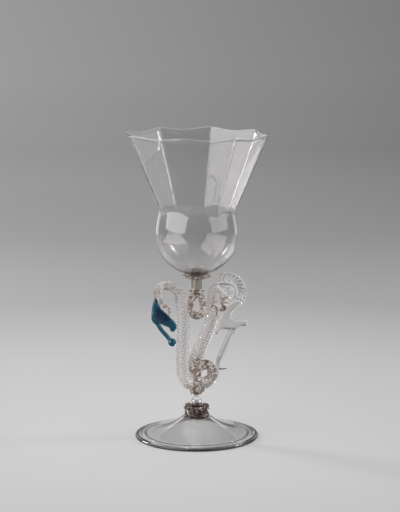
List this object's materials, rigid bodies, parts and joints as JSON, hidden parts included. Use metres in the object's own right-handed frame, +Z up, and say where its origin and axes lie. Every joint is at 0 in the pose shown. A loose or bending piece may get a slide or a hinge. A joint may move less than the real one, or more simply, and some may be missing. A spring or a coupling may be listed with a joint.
{
  "type": "goblet",
  "caption": "Stemmed glass goblet with an eight-sided flared bowl over a round bulb, a twisted serpent stem with winged side trails and a conical foot.",
  "frame": {"origin": "centre of the foot, on the surface that the goblet stands on", "axes": "+Z up through the stem and bowl, +X towards the comb, wing and rod, -Y towards the front"},
  "size_m": [0.1102, 0.1102, 0.2401],
  "materials": {
    "clear_glass": "clear colourless glass, fire polished",
    "rope_glass": "clear glass with fine twisted ribs",
    "warm_glass": "glass with a warm brownish tint and twisted ribs",
    "dark_glass": "thick glass that looks dark brown at its edges",
    "blue_glass": "deep teal blue glass, fire polished"
  },
  "bodies": {
    "root": {"foot": "clear_glass", "foot_ring_lower": "dark_glass", "foot_ring_middle": "dark_glass", "foot_ring_upper": "dark_glass", "foot_button": "dark_glass", "lower_stem": "clear_glass", "calyx": "warm_glass", "right_serpent": "warm_glass", "left_serpent": "rope_glass", "centre_loop": "warm_glass", "upper_stem": "clear_glass", "stem_merese": "warm_glass", "bowl_merese": "warm_glass", "bowl": "clear_glass", "blue_crest": "blue_glass", "blue_jaw": "blue_glass", "head_curl": "clear_glass", "comb": "clear_glass", "comb_thread": "clear_glass", "wing": "clear_glass", "rod": "clear_glass", "tail_spike": "dark_glass"}
  },
  "joints": []
}
